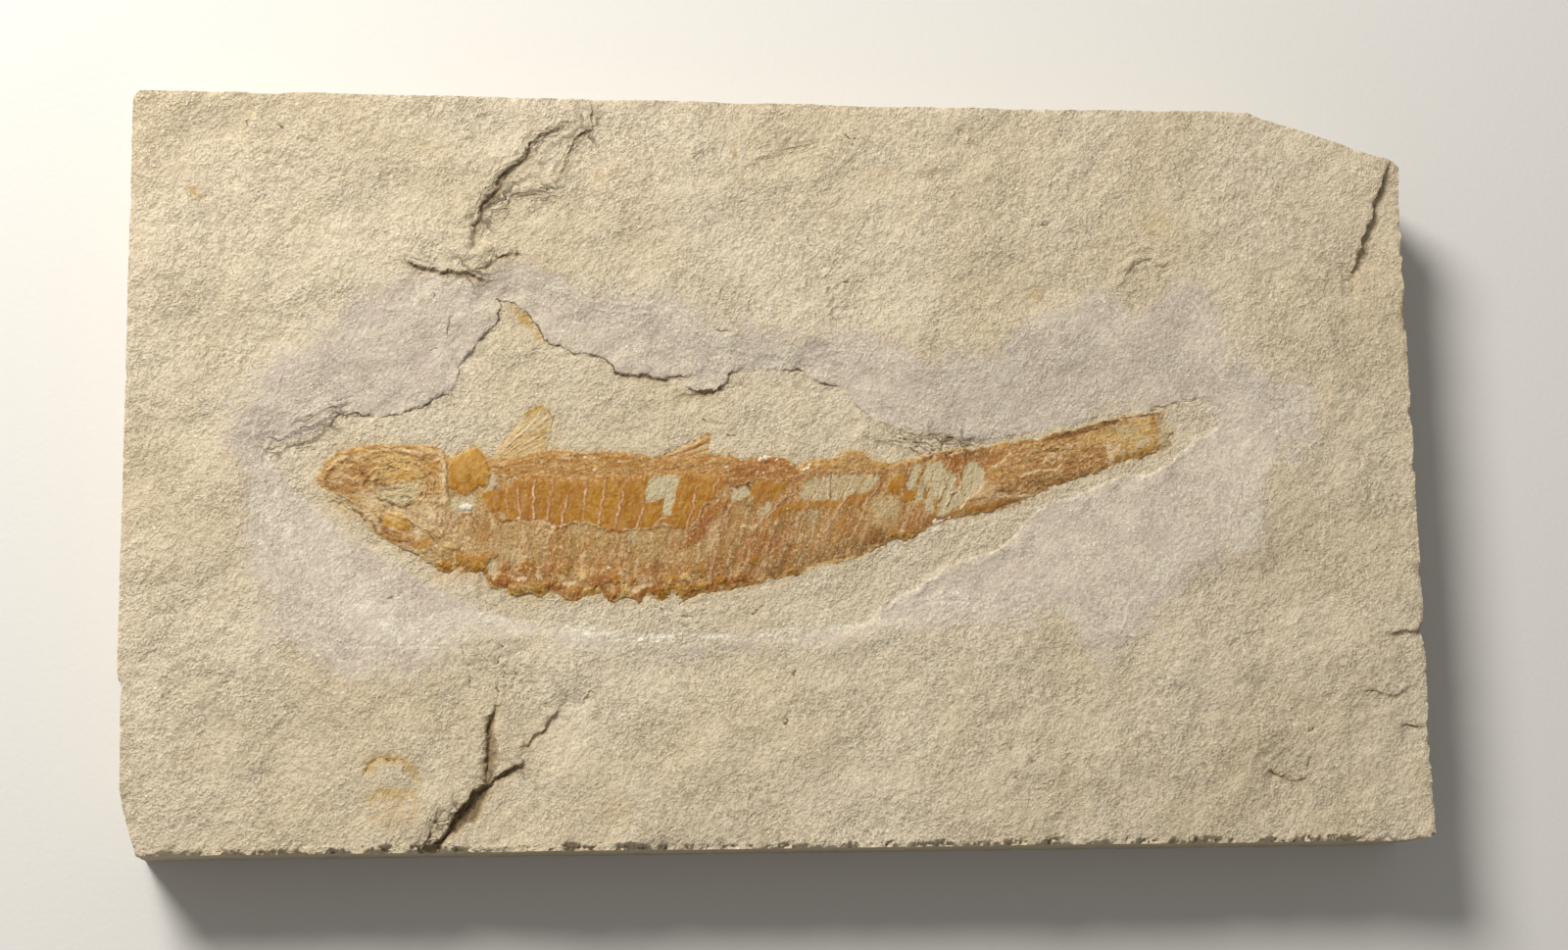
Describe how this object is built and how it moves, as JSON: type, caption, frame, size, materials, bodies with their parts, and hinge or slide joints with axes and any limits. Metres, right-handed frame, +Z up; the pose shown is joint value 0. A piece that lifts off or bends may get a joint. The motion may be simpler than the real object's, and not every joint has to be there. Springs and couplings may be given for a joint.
{
  "type": "fossil fish in a limestone slab",
  "caption": "Slender fossil fish with deep flank scales, lying in a scraped hollow in a trimmed limestone slab.",
  "frame": {"origin": "middle of the slab's underside", "axes": "+X from the fish's head to its tail, +Y from its belly to its back, +Z up out of the split face"},
  "size_m": [0.134, 0.078, 0.012],
  "materials": {
    "limestone": "split, sawn and scraped, matt",
    "bone": "fossil bone, dull satin",
    "amber_scale": "fossil scale, satin",
    "pale_fin": "fossil fin rays, dull satin"
  },
  "bodies": {
    "root": {"limestone_slab": "limestone", "skull": "bone", "gill_cover": "amber_scale", "scaled_body": "amber_scale", "tail": "bone", "front_fin": "pale_fin", "back_fin": "pale_fin"}
  },
  "joints": []
}
